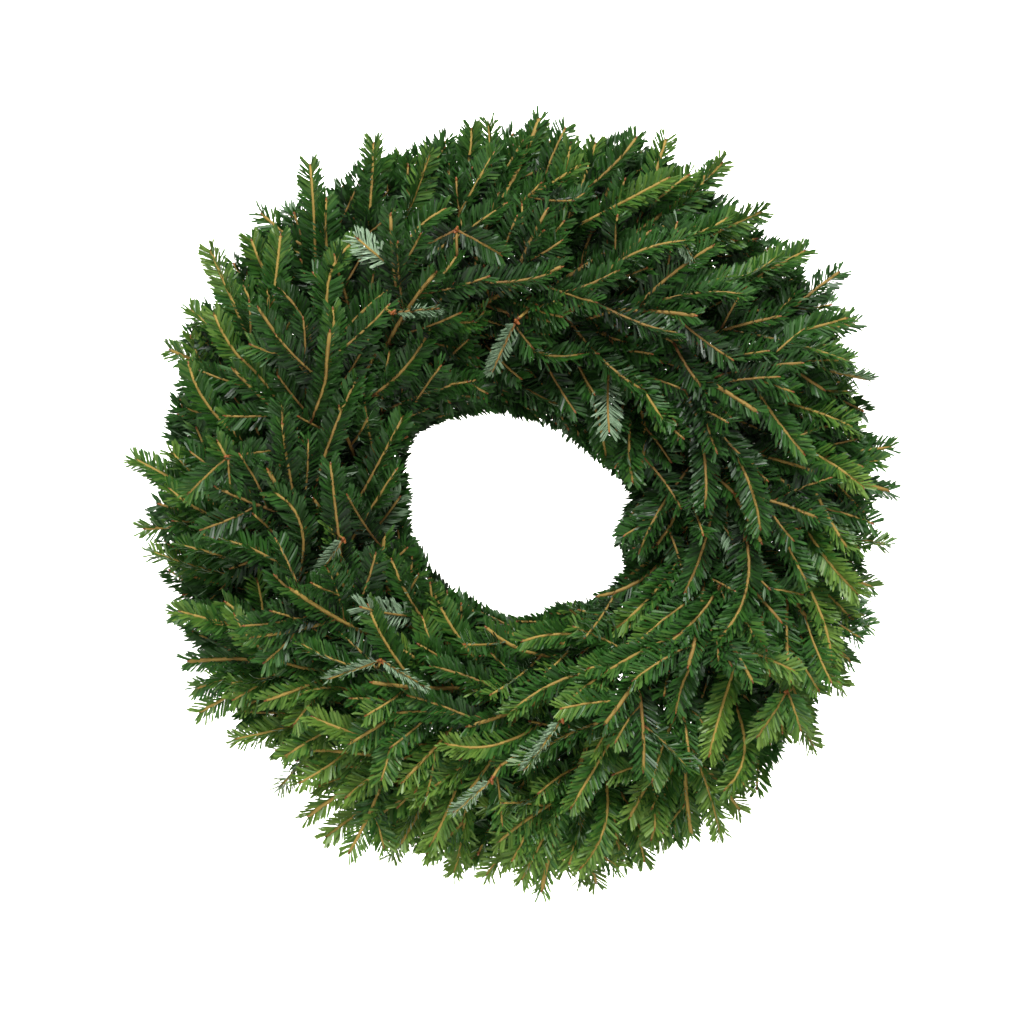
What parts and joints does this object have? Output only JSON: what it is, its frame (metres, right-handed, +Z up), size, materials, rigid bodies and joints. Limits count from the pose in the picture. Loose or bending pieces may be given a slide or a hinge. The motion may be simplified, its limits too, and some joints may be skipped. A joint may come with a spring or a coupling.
{
  "type": "fresh evergreen wreath",
  "caption": "Round fir wreath for a wall: flat needled sprays laid clockwise in overlapping bunches, each held by a wire clamp on a double-rail ring, with a clear round hole",
  "frame": {"origin": "the underside of the outer rail at the top, halfway through the wire, where a hook carries it", "axes": "+Z up, the face looks towards -Y, the wall is on the +Y side, +X is right as seen from the front"},
  "size_m": [0.6148, 0.1084, 0.6328],
  "materials": {
    "ring_wire": "satin",
    "bark": "rough",
    "twig": "matt",
    "bud": "resinous",
    "needles": "waxy"
  },
  "bodies": {
    "root": {"clamp_ring": "ring_wire", "stems_01": "bark", "stems_02": "bark", "stems_03": "bark", "stems_04": "bark", "stems_05": "bark", "stems_06": "bark", "stems_07": "bark", "stems_08": "bark", "stems_09": "bark", "stems_10": "bark", "stems_11": "bark", "stems_12": "bark", "outer_spray_01": "needles", "outer_spray_02": "needles", "outer_spray_03": "needles", "outer_spray_04": "needles", "outer_spray_05": "needles", "outer_spray_06": "needles", "outer_spray_07": "needles", "outer_spray_08": "needles", "outer_spray_09": "needles", "outer_spray_10": "needles", "outer_spray_11": "needles", "outer_spray_12": "needles", "crest_spray_01": "needles", "crest_spray_02": "needles", "crest_spray_03": "needles", "crest_spray_04": "needles", "crest_spray_05": "needles", "crest_spray_06": "needles", "crest_spray_07": "needles", "crest_spray_08": "needles", "crest_spray_09": "needles", "crest_spray_10": "needles", "crest_spray_11": "needles", "crest_spray_12": "needles", "inner_spray_01": "needles", "inner_spray_02": "needles", "inner_spray_03": "needles", "inner_spray_04": "needles", "inner_spray_05": "needles", "inner_spray_06": "needles", "inner_spray_07": "needles", "inner_spray_08": "needles", "inner_spray_09": "needles", "inner_spray_10": "needles", "inner_spray_11": "needles", "inner_spray_12": "needles"}
  },
  "joints": []
}
